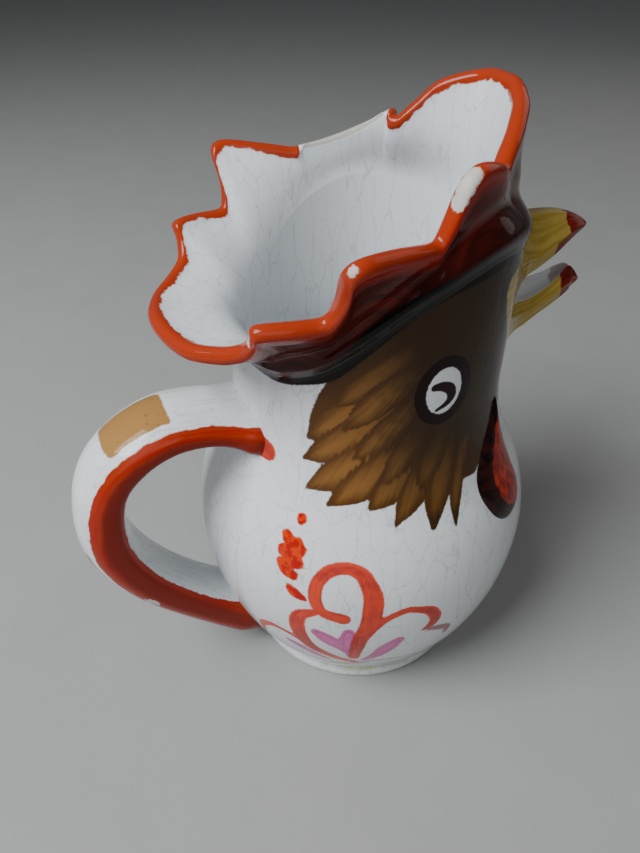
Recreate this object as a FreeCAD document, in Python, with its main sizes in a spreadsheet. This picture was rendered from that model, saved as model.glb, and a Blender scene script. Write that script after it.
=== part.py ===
"""Rooster pitcher in glazed ceramic: a round jug whose neck is a rooster's head.

Millimetres.  The origin is the centre of the foot's resting face, +Z points up,
the beak points along +X and the handle stands on the -X side.
"""
import FreeCAD, Part

import math
import os

import Sketcher
from FreeCAD import Placement, Vector

doc = FreeCAD.newDocument("rooster_pitcher")

# ---------------------------------------------------------------- driving sizes
SIZES = {
    # foot and belly
    "foot_radius": 47.5,
    "foot_height": 8.0,
    "foot_chamfer": 1.5,
    "belly_radius": 66.0,
    "belly_level": 68.0,          # height of the widest ring
    "low_belly_arc": 106.5,       # radius of the long curve below it
    "high_belly_arc": 64.5,       # radius of the shoulder curve above it
    "shoulder_turn": 29.7,        # degrees that the shoulder turns in
    "neck_arc": 72.0,             # radius of the hollow curve into the neck
    "neck_top": 215.0,            # rough height before the slanting cut
    "wall": 5.0,
    "floor_thickness": 6.0,
    # slanting joint between the neck and the comb, seen from the side
    "comb_joint_level": 172.0,
    "comb_joint_slope": 0.48,
    "comb_wall": 4.5,
    "comb_hollow": 3.0,           # how far the comb's wall pulls in half way up
    # beak
    "beak_reach": 94.0,
    "beak_root_x": 40.0,
    "beak_root_half_width": 26.0,
    "beak_flare_x": 54.0,
    "beak_flare_half_width": 14.5,
    "beak_slim_x": 75.0,
    "beak_slim_half_width": 8.0,
    "beak_tip_half_width": 2.5,
    "trough_floor": 140.0,
    "trough_wall": 3.0,
    "trough_reach": 80.0,
    "spout_hole_width": 22.0,
    "spout_hole_low": 143.0,
    "spout_hole_high": 157.0,
    "spout_corner": 4.0,
    # wattles
    "wattle_relief": 3.0,
    "wattle_turn": 57.0,          # degrees round from the beak
    "wattle_top": 132.0,
    "wattle_drop": 46.0,
    "wattle_half_width": 13.0,
}

# Rim of the comb: lobes and the notches between them, from the back lobe over the
# handle round one side to the front lobe over the beak, as x, y, z.
RIM = {
    "back_lobe": (-76.5, 0.0, 164.5),
    "back_shoulder": (-72.0, 19.0, 163.5),
    "back_notch": (-57.5, 34.0, 168.0),
    "low_lobe": (-57.5, 41.0, 177.5),
    "low_notch": (-37.0, 45.5, 177.5),
    "side_lobe": (-35.0, 57.0, 198.0),
    "side_notch": (-7.0, 49.0, 194.5),
    "tall_lobe": (4.0, 48.5, 211.5),
    "front_notch": (25.0, 33.0, 206.0),
    "front_shoulder": (36.0, 26.0, 216.0),
    "front_lobe": (54.5, 0.0, 221.5),
}
# The same ring where it leaves the neck, as degrees round from the beak.
RIM_TURN = {
    "back_lobe": 180.0,
    "back_shoulder": 165.0,
    "back_notch": 152.0,
    "low_lobe": 144.0,
    "low_notch": 131.0,
    "side_lobe": 121.0,
    "side_notch": 97.0,
    "tall_lobe": 80.0,
    "front_notch": 53.0,
    "front_shoulder": 33.0,
    "front_lobe": 0.0,
}
# Handle strap: middle of the section (x, z), then its width and its thickness.
STRAP = {
    "upper_root": (-40.0, 113.0, 32.0, 11.0),
    "rise": (-63.0, 125.5, 30.0, 11.0),
    "crown": (-88.0, 121.0, 29.0, 12.5),
    "back": (-102.0, 100.5, 28.0, 14.5),
    "grip": (-102.5, 83.5, 27.0, 15.5),
    "fall": (-95.5, 64.5, 26.0, 15.0),
    "tail": (-81.0, 47.0, 25.0, 15.0),
    "lower_root": (-58.0, 25.0, 24.0, 15.0),
}
# Side outlines of the two halves of the beak, as x, z.
UPPER_BEAK = [(40, 159), (58, 159), (66, 160), (73, 162.5), (82, 166), (88, 167), (89.5, 169.5),
              (86.5, 172.5), (79, 175.5), (71, 177), (58, 178), (40, 179)]
LOWER_BEAK = [(40, 143), (54, 143), (64, 142.5), (72, 144), (80, 145.5), (86, 147.5), (91, 150.5),
              (94, 147), (92, 142.5), (85, 139), (78, 136), (68, 133), (60, 131), (50, 128), (40, 127)]


def write_sheet():
    """Put every driving size in the spreadsheet, one named cell each."""
    sheet = doc.addObject("Spreadsheet::Sheet", "Sizes")
    cells = dict(SIZES)
    for name, point in RIM.items():
        cells.update(zip((f"{name}_x", f"{name}_y", f"{name}_z"), point))
        cells[f"{name}_turn"] = RIM_TURN[name]
    for name, station in STRAP.items():
        keys = (f"strap_{name}_x", f"strap_{name}_z", f"strap_{name}_width", f"strap_{name}_thick")
        cells.update(zip(keys, station))
    for part, outline in (("upper", UPPER_BEAK), ("lower", LOWER_BEAK)):
        for number, corner in enumerate(outline):
            cells.update(zip((f"{part}_beak_{number}_x", f"{part}_beak_{number}_z"), corner))
    for row, (alias, size) in enumerate(cells.items(), start=1):
        sheet.set(f"A{row}", alias)
        sheet.set(f"B{row}", str(size))
        sheet.setAlias(f"B{row}", alias)
    doc.recompute()
    return sheet


sheet = write_sheet()


def size(name):
    """A driving size, read back from its cell."""
    return float(sheet.get(name))


# ------------------------------------------------------------------ sketch tools
def new_body(name):
    return doc.addObject("PartDesign::Body", name)


def new_sketch(body, name, plane):
    """A sketch on one of the body's own origin planes."""
    sketch = body.newObject("Sketcher::SketchObject", name)
    faces = [f for f in body.Origin.OriginFeatures if f.Role == plane]
    sketch.AttachmentSupport = [(faces[0], "")]
    sketch.MapMode = "FlatFace"
    doc.recompute()
    return sketch


def draw_outline(sketch, corners, bends=None):
    """Draw a closed outline through corners, each a pair of sheet expressions.

    bends maps the number of a side to (radius expression, turn): that side is an arc,
    with its centre on the left of the way along (turn 1) or on the right (turn -1).
    Every corner and every radius is bound to the sheet.
    """
    bends = bends or {}
    points = []
    for across, up in corners:
        across_now = float(sketch.evalExpression(across))
        up_now = float(sketch.evalExpression(up))
        points.append(Vector(across_now, up_now, 0))
    ends = []
    for side, start in enumerate(points):
        finish = points[(side + 1) % len(points)]
        if side not in bends:
            line = sketch.addGeometry(Part.LineSegment(start, finish))
            ends.append((line, 1, 2))
            continue
        radius_text, turn = bends[side]
        radius = float(sketch.evalExpression(radius_text))
        chord = finish - start
        reach = math.sqrt(radius ** 2 - (chord.Length / 2) ** 2)
        left = Vector(-chord.y, chord.x, 0).normalize()
        centre = (start + finish) * 0.5 + left * reach * turn
        first, last = (start, finish) if turn > 0 else (finish, start)
        turn_to = [math.atan2(p.y - centre.y, p.x - centre.x) for p in (first, last)]
        circle = Part.Circle(centre, Vector(0, 0, 1), radius)
        arc = sketch.addGeometry(Part.ArcOfCircle(circle, turn_to[0], turn_to[1]))
        ends.append((arc, 1, 2) if turn > 0 else (arc, 2, 1))
        radius_rule = sketch.addConstraint(Sketcher.Constraint("Radius", arc, radius))
        sketch.setExpression(f"Constraints[{radius_rule}]", radius_text)
    for side, (edge, _, finish_end) in enumerate(ends):
        next_edge, next_start, _ = ends[(side + 1) % len(ends)]
        joint = Sketcher.Constraint("Coincident", edge, finish_end, next_edge, next_start)
        sketch.addConstraint(joint)
    for (edge, start_end, _), (across, up), point in zip(ends, corners, points):
        for rule, text, value in (("DistanceX", across, point.x), ("DistanceY", up, point.y)):
            number = sketch.addConstraint(Sketcher.Constraint(rule, -1, 1, edge, start_end, value))
            sketch.setExpression(f"Constraints[{number}]", text)
    doc.recompute()


def even_pad(body, sketch, name, length_text):
    """Pad a sketch the same way to both sides of its plane."""
    pad = body.newObject("PartDesign::Pad", name)
    pad.Profile = sketch
    pad.SideType = "Symmetric"
    pad.setExpression("Length", length_text)
    doc.recompute()
    return pad


def full_turn(body, sketch, name):
    """Revolve a sketch once round its own vertical axis."""
    turned = body.newObject("PartDesign::Revolution", name)
    turned.Profile = sketch
    turned.ReferenceAxis = (sketch, ["V_Axis"])
    turned.Angle = 360
    doc.recompute()
    return turned


def cut(base, tool, name):
    """A document boolean: base less tool."""
    feature = doc.addObject("Part::Cut", name)
    feature.Base = base
    feature.Tool = tool
    doc.recompute()
    return feature


def common(base, tool, name):
    """A document boolean: what base and tool share."""
    feature = doc.addObject("Part::Common", name)
    feature.Base = base
    feature.Tool = tool
    doc.recompute()
    return feature


# ------------------------------------------------------------- the jug's outline
def jug_curve(inset):
    """Corners of the jug's wall from the foot up, moved in by the inset expression.

    The shoulder and neck corners lie where the arcs run into each other, so the
    same lines give the outer face and, with an inset, the inner one.
    """
    s = "Sizes."
    belly_centre = f"({s}belly_radius - {s}high_belly_arc)"
    shoulder_radius = f"({s}high_belly_arc - {inset})"
    shoulder_x = f"{belly_centre} + {shoulder_radius} * cos({s}shoulder_turn * 1deg)"
    shoulder_z = f"{s}belly_level + {shoulder_radius} * sin({s}shoulder_turn * 1deg)"
    neck_centre_x = (f"({belly_centre} + ({s}high_belly_arc + {s}neck_arc)"
                     f" * cos({s}shoulder_turn * 1deg))")
    neck_z = (f"{s}belly_level + ({s}high_belly_arc + {s}neck_arc)"
              f" * sin({s}shoulder_turn * 1deg)")
    neck_x = f"{neck_centre_x} - {s}neck_arc - {inset}"
    return {
        "belly": (f"{s}belly_radius - {inset}", f"{s}belly_level"),
        "shoulder": (shoulder_x, shoulder_z),
        "neck": (neck_x, neck_z),
        "top": (neck_x, f"{s}neck_top"),
    }


def low_belly_x(level_text, inset):
    """Radius of the lower belly curve, moved in by inset, at a level below the widest."""
    s = "Sizes."
    return (f"{s}belly_radius - {s}low_belly_arc + sqrt(({s}low_belly_arc - {inset}) ^ 2"
            f" - ({s}belly_level - ({level_text})) ^ 2)")


def draw_core(sketch, grow):
    """Half outline of the jug's outer face, closed on the axis and grown outwards."""
    inset = f"(0 - {grow})"
    curve = jug_curve(inset)
    foot_x = low_belly_x("Sizes.foot_height", inset)
    corners = [("0", "Sizes.foot_height"), (foot_x, "Sizes.foot_height"), curve["belly"],
               curve["shoulder"], curve["neck"], curve["top"], ("0", "Sizes.neck_top")]
    bends = {1: (f"Sizes.low_belly_arc + {grow}", 1), 2: (f"Sizes.high_belly_arc + {grow}", 1),
             3: (f"Sizes.neck_arc - {grow}", -1)}
    draw_outline(sketch, corners, bends)


def make_core(name, grow):
    """Solid inside the jug's outer face, a tool that shapes what sits against it."""
    body = new_body(name)
    sketch = new_sketch(body, f"{name}_outline", "XZ_Plane")
    draw_core(sketch, grow)
    full_turn(body, sketch, f"{name}_turned")
    return body


def make_vessel():
    """The hollow jug: foot to neck, cut on the slant where the comb begins."""
    body = new_body("vessel")
    sketch = new_sketch(body, "vessel_outline", "XZ_Plane")
    outer = jug_curve("0")
    inner = jug_curve("Sizes.wall")
    floor_level = "Sizes.foot_height + Sizes.floor_thickness"
    corners = [
        ("0", "Sizes.foot_height"),
        (low_belly_x("Sizes.foot_height", "0"), "Sizes.foot_height"),
        outer["belly"], outer["shoulder"], outer["neck"], outer["top"],
        inner["top"], inner["neck"], inner["shoulder"], inner["belly"],
        (low_belly_x(floor_level, "Sizes.wall"), floor_level),
        ("0", floor_level),
    ]
    bends = {
        1: ("Sizes.low_belly_arc", 1),
        2: ("Sizes.high_belly_arc", 1),
        3: ("Sizes.neck_arc", -1),
        7: ("Sizes.neck_arc + Sizes.wall", 1),
        8: ("Sizes.high_belly_arc - Sizes.wall", -1),
        9: ("Sizes.low_belly_arc - Sizes.wall", -1),
    }
    draw_outline(sketch, corners, bends)
    full_turn(body, sketch, "vessel_turned")

    slant = new_sketch(body, "comb_joint_outline", "XZ_Plane")
    reach = "Sizes.belly_radius"
    low = f"Sizes.comb_joint_level - Sizes.comb_joint_slope * {reach}"
    high = f"Sizes.comb_joint_level + Sizes.comb_joint_slope * {reach}"
    top = "Sizes.neck_top + Sizes.wall"
    draw_outline(slant, [(f"0 - {reach}", low), (reach, high), (reach, top), (f"0 - {reach}", top)])
    slant_cut = body.newObject("PartDesign::Pocket", "comb_joint_cut")
    slant_cut.Profile = slant
    slant_cut.SideType = "Symmetric"
    slant_cut.setExpression("Length", "Sizes.belly_radius * 2")
    before = body.Shape.Volume
    doc.recompute()
    require_less(body, before, "slanting cut")

    hole = new_sketch(body, "spout_hole_outline", "YZ_Plane")
    half = "Sizes.spout_hole_width / 2"
    low, high, corner = "Sizes.spout_hole_low", "Sizes.spout_hole_high", "Sizes.spout_corner"
    corners = [(f"{corner} - {half}", low), (f"{half} - {corner}", low), (half, f"{low} + {corner}"),
               (half, f"{high} - {corner}"), (f"{half} - {corner}", high),
               (f"{corner} - {half}", high), (f"0 - {half}", f"{high} - {corner}"),
               (f"0 - {half}", f"{low} + {corner}")]
    draw_outline(hole, corners, {side: (corner, 1) for side in (1, 3, 5, 7)})
    hole_cut = body.newObject("PartDesign::Pocket", "spout_hole_cut")
    hole_cut.Profile = hole
    hole_cut.Reversed = True
    hole_cut.setExpression("Length", "Sizes.belly_radius")
    before = body.Shape.Volume
    doc.recompute()
    require_less(body, before, "spout hole")
    return body


def require_less(body, before, what):
    """Stop if a cutting feature took nothing away."""
    if not body.Shape.Volume < before - 1:
        raise RuntimeError(f"the {what} took nothing away")


def make_foot():
    """The flat foot disc that the jug stands on."""
    body = new_body("foot")
    sketch = new_sketch(body, "foot_outline", "XZ_Plane")
    rim, soft, high = "Sizes.foot_radius", "Sizes.foot_chamfer", "Sizes.foot_height"
    corners = [("0", "0"), (f"{rim} - {soft}", "0"), (rim, soft), (rim, high), ("0", high)]
    draw_outline(sketch, corners)
    full_turn(body, sketch, "foot_turned")
    return body


# ---------------------------------------------------------------------- the comb
def ring_points():
    """Rim, half-way and base rings of the comb, all the way round, as three lists.

    The far tall lobe has broken off, so on that side its point lies on the straight
    break between the notches beside it.
    """
    names = list(RIM)
    near = [(name, -1) for name in names]
    far = [(name, 1) for name in reversed(names[1:-1])]
    neck = float(sheet.evalExpression(jug_curve("0")["neck"][0]))
    rim, base = [], []
    for name, side in near + far:
        point = Vector(size(f"{name}_x"), side * size(f"{name}_y"), size(f"{name}_z"))
        if name == "tall_lobe" and side > 0:
            ends = [Vector(size(f"{n}_x"), size(f"{n}_y"), size(f"{n}_z"))
                    for n in ("side_notch", "front_notch")]
            point = (ends[0] + ends[1]) * 0.5
        rim.append(point)
        turn = math.radians(side * size(f"{name}_turn"))
        across = neck * math.cos(turn)
        level = size("comb_joint_level") + size("comb_joint_slope") * across
        base.append(Vector(across, neck * math.sin(turn), level))
    middle = []
    for low, high in zip(base, rim):
        half = (low + high) * 0.5
        inward = Vector(-half.x, -half.y, 0).normalize()
        middle.append(half + inward * size("comb_hollow"))
    return base, middle, rim


def inner_ring(ring, below, thickness):
    """A ring moved in by the wall's thickness, square to the wall."""
    count = len(ring)
    moved = []
    for index, point in enumerate(ring):
        along = ring[(index + 1) % count] - ring[index - 1]
        rise = point - below[index]
        square = along.cross(rise).normalize()
        if square.dot(Vector(point.x, point.y, 0)) > 0:
            square = square * -1
        moved.append(point + square * thickness)
    return moved


def ring_halves(ring):
    """A closed smooth curve through a ring, cut at its back and front into two edges."""
    curve = Part.BSplineCurve()
    numbers = [float(n) for n in range(len(ring) + 1)]
    curve.interpolate(Points=ring, PeriodicFlag=True, Parameters=numbers)
    front = numbers[-1] / 2
    return curve.toShape(0, front), curve.toShape(front, numbers[-1])


def make_comb():
    """The scalloped comb round the mouth, flaring out over the handle."""
    base, middle, rim = ring_points()
    wall = size("comb_wall")
    inside = []
    for point in base:
        inward = Vector(-point.x, -point.y, 0).normalize() * wall
        level = size("comb_joint_level") + size("comb_joint_slope") * (point.x + inward.x)
        inside.append(Vector(point.x + inward.x, point.y + inward.y, level))
    inner_middle = inner_ring(middle, base, wall)
    inner_rim = inner_ring(rim, middle, wall)
    outer_edges = [ring_halves(ring) for ring in (base, middle, rim)]
    inner_edges = [ring_halves(ring) for ring in (inside, inner_middle, inner_rim)]
    faces = []
    for half in (0, 1):
        for rings in (outer_edges, inner_edges):
            faces += Part.makeLoft([Part.Wire([edges[half]]) for edges in rings], False, True).Faces
        for level in (0, -1):
            faces.append(Part.makeRuledSurface(outer_edges[level][half], inner_edges[level][half]))
    skins = Part.Compound(faces)
    skins.sewShape()
    solid = Part.makeSolid(skins.Shells[0])
    if solid.Volume < 0:
        solid.reverse()
    feature = doc.addObject("Part::Feature", "comb")
    feature.Shape = solid
    feature.Placement = Placement()
    return feature


# -------------------------------------------------------------------- the handle
def strap_section(centre, run, width, thickness):
    """A rounded flat section square to the run of the handle."""
    across = Vector(0, 1, 0)
    out = run.cross(across).normalize()
    full, corner = 1.0, 0.86
    spots = [(full, 0), (corner, corner), (0, full), (-corner, corner),
             (-full, 0), (-corner, -corner), (0, -full), (corner, -corner)]
    points = [centre + across * (a * width / 2) + out * (b * thickness / 2) for a, b in spots]
    curve = Part.BSplineCurve()
    curve.interpolate(Points=points, PeriodicFlag=True)
    return Part.Wire([curve.toShape()])


def make_handle(core):
    """The strap handle, with both roots cut to the jug's outer face."""
    stations = []
    for name in STRAP:
        keys = ("x", "z", "width", "thick")
        stations.append([size(f"strap_{name}_{key}") for key in keys])
    middles = [Vector(x, 0, z) for x, z, _, _ in stations]
    sections = []
    for index, (_, _, width, thick) in enumerate(stations):
        before = middles[max(index - 1, 0)]
        after = middles[min(index + 1, len(middles) - 1)]
        sections.append(strap_section(middles[index], (after - before).normalize(), width, thick))
    strap = doc.addObject("Part::Feature", "handle_strap")
    strap.Shape = Part.makeLoft(sections, True, False)
    strap.Placement = Placement()
    return cut(strap, core, "handle")


# ---------------------------------------------------------------------- the beak
def side_outline(name, outline):
    """The side view of a half of the beak, as wide as its root."""
    body = new_body(f"{name}_side")
    sketch = new_sketch(body, f"{name}_side_outline", "XZ_Plane")
    cells = [f"Sizes.{name}_beak_{number}" for number in range(len(outline))]
    draw_outline(sketch, [(f"{cell}_x", f"{cell}_z") for cell in cells])
    even_pad(body, sketch, f"{name}_side_pad", "Sizes.beak_root_half_width * 2")
    return body


def plan_outline(name, inset, reach, tip, floor=None):
    """The beak from above: a wide flared root that narrows to the tip."""
    s = "Sizes."
    stops = [(f"{s}beak_root_x", f"{s}beak_root_half_width - {inset}"),
             (f"{s}beak_flare_x", f"{s}beak_flare_half_width - {inset}"),
             (f"{s}beak_slim_x", f"{s}beak_slim_half_width - {inset}"),
             (reach, tip)]
    corners = [(x, f"0 - ({half})") for x, half in stops] + stops[::-1]
    body = new_body(name)
    sketch = new_sketch(body, f"{name}_outline", "XY_Plane")
    draw_outline(sketch, corners)
    pad = body.newObject("PartDesign::Pad", f"{name}_pad")
    pad.Profile = sketch
    pad.setExpression("Length", f"{s}neck_top")
    if floor:
        sketch.setExpression(".AttachmentOffset.Base.z", floor)
    doc.recompute()
    return body


def make_beak_half(name, outline, core):
    """One half of the beak, cut from its side view and its plan, set on the head."""
    side = side_outline(name, outline)
    plan = plan_outline(f"{name}_plan", "0", "Sizes.beak_reach", "Sizes.beak_tip_half_width")
    blank = common(side, plan, f"{name}_blank")
    return cut(blank, core, f"{name}_seated")


def make_upper_beak(core):
    feature = make_beak_half("upper", UPPER_BEAK, core)
    feature.Label = "beak_upper"
    return feature


def make_lower_beak(core):
    """The lower half is a trough that the jug pours through."""
    solid = make_beak_half("lower", LOWER_BEAK, core)
    trough = plan_outline("trough", "Sizes.trough_wall", "Sizes.trough_reach",
                          "Sizes.beak_tip_half_width", "Sizes.trough_floor")
    feature = cut(solid, trough, "lower_hollowed")
    if not feature.Shape.Volume < solid.Shape.Volume - 1:
        raise RuntimeError("the trough took nothing away")
    feature.Label = "beak_lower"
    return feature


# ------------------------------------------------------------------- the wattles
def make_wattle(core, raised, label, side):
    """A teardrop in low relief on the neck, hanging beside the beak."""
    s = "Sizes."
    half = f"{s}wattle_half_width"
    round_level = f"{s}wattle_top - {s}wattle_drop + {half}"
    body = new_body(f"{label}_drop")
    sketch = new_sketch(body, f"{label}_outline", "XZ_Plane")
    corners = [(half, round_level), ("0", f"{s}wattle_top"), (f"0 - {half}", round_level),
               ("0", f"{s}wattle_top - {s}wattle_drop")]
    draw_outline(sketch, corners, {2: (half, 1), 3: (half, 1)})
    pad = body.newObject("PartDesign::Pad", f"{label}_pad")
    pad.Profile = sketch
    pad.setExpression("Length", "Sizes.belly_radius * 1.5")
    doc.recompute()
    if pad.Shape.BoundBox.YMax > 1:
        pad.Reversed = True
        doc.recompute()
    turn = f"(90 - {s}wattle_turn)" if side < 0 else f"(90 + {s}wattle_turn)"
    body.setExpression(".Placement.Rotation.Angle", f"{turn} * 1deg")
    doc.recompute()
    skin = common(body, raised, f"{label}_skin")
    feature = cut(skin, core, f"{label}_relief")
    feature.Label = label
    return feature


# ---------------------------------------------------------------------- assembly
def check_document():
    for thing in doc.Objects:
        faults = [word for word in thing.State if word in ("Invalid", "Error")]
        if faults:
            raise RuntimeError(f"{thing.Label} is {faults}")


def write_parts(pieces):
    os.makedirs("parts", exist_ok=True)
    for piece in pieces:
        shape = piece.Shape
        if shape.isNull() or not shape.isValid() or shape.Volume <= 0:
            raise RuntimeError(f"{piece.Label} has no sound shape")
        shape.exportStep(f"parts/{piece.Label}.step")
        box = shape.optimalBoundingBox(False)
        print(f"{piece.Label}: {shape.Volume / 1000:.1f} cm3, {len(shape.Solids)} solid,"
              f" x {box.XMin:.1f}..{box.XMax:.1f}, y {box.YMin:.1f}..{box.YMax:.1f},"
              f" z {box.ZMin:.1f}..{box.ZMax:.1f}")


core = make_core("core", "0")
raised_core = make_core("raised_core", "Sizes.wattle_relief")
pieces = [
    make_vessel(),
    make_foot(),
    make_comb(),
    make_handle(core),
    make_upper_beak(core),
    make_lower_beak(core),
    make_wattle(core, raised_core, "wattle_right", -1),
    make_wattle(core, raised_core, "wattle_left", 1),
]
doc.recompute()
check_document()
write_parts(pieces)
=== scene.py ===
"""Rooster pitcher in white glazed ceramic, with brush-painted feathers, comb, beak and wattles.

Shapes are worked out in millimetres and degrees and brought to metres when a piece is finished.
The foot's centre is the origin, the beak points along +X, the handle stands on -X and the near
side is -Y.  A turn is the number of degrees round from the beak.
"""

import math

import bmesh
import bpy
import numpy as np
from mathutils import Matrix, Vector


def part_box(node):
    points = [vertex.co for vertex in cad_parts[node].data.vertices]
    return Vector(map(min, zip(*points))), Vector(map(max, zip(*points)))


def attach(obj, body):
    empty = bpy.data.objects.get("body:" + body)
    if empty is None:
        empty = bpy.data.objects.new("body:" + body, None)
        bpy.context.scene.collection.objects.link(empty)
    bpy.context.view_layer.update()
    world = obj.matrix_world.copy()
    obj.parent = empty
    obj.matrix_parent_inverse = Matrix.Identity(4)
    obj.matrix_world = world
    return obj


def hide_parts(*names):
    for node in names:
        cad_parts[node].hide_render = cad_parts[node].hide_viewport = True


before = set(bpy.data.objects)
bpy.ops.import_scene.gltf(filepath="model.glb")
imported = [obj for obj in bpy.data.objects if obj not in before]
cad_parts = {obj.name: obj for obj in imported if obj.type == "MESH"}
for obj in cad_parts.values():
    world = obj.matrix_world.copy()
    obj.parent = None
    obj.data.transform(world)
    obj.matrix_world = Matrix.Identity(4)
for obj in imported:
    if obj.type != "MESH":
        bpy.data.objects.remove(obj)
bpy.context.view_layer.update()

MM = 0.001

# ---- sizes of the jug
vessel_high, foot_high = (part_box(node)[1] / MM for node in ("vessel", "foot"))
BELLY_RADIUS = vessel_high.x
FOOT_RADIUS = foot_high.x
FOOT_HEIGHT = foot_high.z
BELLY_LEVEL = 68.0
LOW_BELLY_ARC = 106.5
HIGH_BELLY_ARC = 64.5
SHOULDER_LEVEL = 100.0
NECK_ARC = 72.0
NECK_LEVEL = 135.6
NECK_RADIUS = 48.07
WALL = 5.0
COMB_START = 160.0        # straight height where the comb starts, before it is bent to shape
COMB_END = 220.0
RIM_BEAD = 2.7            # radius of the rounded rim
RIM_RISE = 2.0 + RIM_BEAD
AROUND = 360              # columns of the jug's skin, one to a degree
ROOT_DEPTH = 3.0          # how deep the strap and the beak are set in the wall
MERGE = 1e-3              # points closer than this are one point

# Crest of the comb from the front lobe to the back lobe: turn, forward, sideways, height.  The far
# side follows it but for its break, the near side from the fifth point on.
CREST = [
    (0, 46.5, 0, 221.5), (18, 46.5, 13, 221), (35, 36, 24, 216.5), (46, 29, 28, 209.5),
    (53, 25, 31, 205), (60, 21, 35, 206), (70, 14, 41, 210), (79, 5, 46, 212),
    (85, 0, 47.5, 209), (91, -3, 47.5, 202), (97, -6, 47.5, 194), (108, -20, 52, 196.5),
    (118, -32, 56.4, 197.7), (122, -36, 55.4, 195.2), (127, -35, 50.4, 186.2),
    (131, -36, 45, 177.4), (138, -47, 44, 177.8), (144, -56, 41, 177.2),
    (148, -55.5, 38.5, 173.2), (152, -56.5, 33.5, 167.5), (157, -62, 28.5, 164.7),
    (165, -70.5, 18.5, 162.8), (180, -75, 0, 164),
]
NOTCHES = (53, 97, 131, 152)
# Near half of the front lobe, which stands further back than the far half.
NEAR_FRONT = [(0, 46.5, 0, 221.5), (18, 43, 10.5, 218.5), (35, 36, 19, 214.5),
              (46, 29.5, 26, 209.5)]
# The far lobe has broken off: turns at the ends of the break, and where those ends are.
BREAK = (57, 97)
BREAK_ENDS = ((24.5, 32.5, 208.3), (-7.5, 47.5, 194.8))
BREAK_BOW = (1.7, 3.6, -3.1)    # how far the middle of the break stands off the straight line
BREAK_SHARE = 0.9         # part of the rim's height that the wall reaches along the break
BREAK_CROWN = 0.6         # how far the broken edge stands above that
BARE_CLAY = 1.2           # half width of the bare clay along the break
UNPAINTED = 14.0          # how far the rim's paint keeps off the break
# Small chips in the near side's rim: turn on the crest and size.
RIM_CHIPS = [(89, 2.4), (86, 2.8), (83, 2.6), (121, 1.6), (149, 1.4)]
# Height of the comb's foot round the neck.
COMB_FOOT = [(0, 178), (24, 179), (45, 181.5), (58, 184), (66, 185), (73, 184.5), (83, 182.5),
             (92, 179), (104, 173.5), (112, 168), (121, 161), (131, 154.5), (141, 149.8),
             (152, 147.2), (166, 148), (180, 148.5)]
# Spout window through the front of the neck.
WINDOW_TURN = 13.0
WINDOW_LEVELS = (143.0, 157.0)

# ---- sizes of the strap
# Middle of the section (forward, height), then width and thickness.
STRAP = [(-40, 115.5, 32, 9), (-52, 121, 31, 8.5), (-63, 124.4, 30, 9), (-75, 124.9, 29.5, 10),
         (-86.5, 120.5, 29, 11), (-96, 111.8, 28.5, 12), (-100.6, 99.5, 28, 13),
         (-101, 82.5, 27, 14), (-94, 63.8, 26, 14), (-80, 44.4, 25, 13.5), (-60, 25.6, 24, 14),
         (-42, 19, 23, 13)]
STRAP_DOME = 3.6          # how far the middle of the strap's outer face stands above its edges


# ---- curves and outlines
def smooth_way(points, steps):
    """Points on a smooth curve through the given ones, steps to each span."""
    points = np.array(points, float)
    before = np.vstack([2 * points[0] - points[1], points])
    after = np.vstack([points, 2 * points[-1] - points[-2]])
    slopes = (after[1:] - before[:-1]) / 2
    way = []
    for span in range(len(points) - 1):
        for step in range(steps):
            way.append(ease(points[span], points[span + 1], slopes[span], slopes[span + 1],
                            step / steps))
    way.append(points[-1])
    return np.array(way)


def ease(start, finish, leave, arrive, part):
    """A cubic from start to finish with the given end slopes."""
    a, b = part * part * (3 - 2 * part), part * (1 - part) ** 2
    return start * (1 - a) + finish * a + leave * b - arrive * part * part * (1 - part)


def wall_radius(level):
    """Outer radius of the jug below the comb."""
    level = np.asarray(level, float)
    low = BELLY_RADIUS - LOW_BELLY_ARC + np.sqrt(
        LOW_BELLY_ARC ** 2 - (BELLY_LEVEL - np.clip(level, 0, BELLY_LEVEL)) ** 2)
    rise = np.clip(level, BELLY_LEVEL, SHOULDER_LEVEL) - BELLY_LEVEL
    high = BELLY_RADIUS - HIGH_BELLY_ARC + np.sqrt(HIGH_BELLY_ARC ** 2 - rise ** 2)
    drop = np.clip(level, SHOULDER_LEVEL, NECK_LEVEL) - NECK_LEVEL
    neck = NECK_RADIUS + NECK_ARC - np.sqrt(NECK_ARC ** 2 - drop ** 2)
    radius = np.where(level < BELLY_LEVEL, low, np.where(level < SHOULDER_LEVEL, high, neck))
    return np.where(level > NECK_LEVEL, NECK_RADIUS, radius)


def on_wall(turn, level):
    """The place on the jug's outer face at a turn on the -Y side, and a level."""
    turn, radius = np.radians(turn), wall_radius(level)
    return np.stack([radius * np.cos(turn), -radius * np.sin(turn), np.asarray(level, float)], -1)


def softened(values, spread):
    """Values round the jug, one to a degree, averaged with their neighbours."""
    reach = np.arange(-3 * spread, 3 * spread + 1)
    weights = np.exp(-0.5 * (reach / spread) ** 2)
    rolled = [np.roll(values, step, 0) * weight for step, weight in zip(reach, weights)]
    return np.sum(rolled, 0) / weights.sum()


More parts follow.
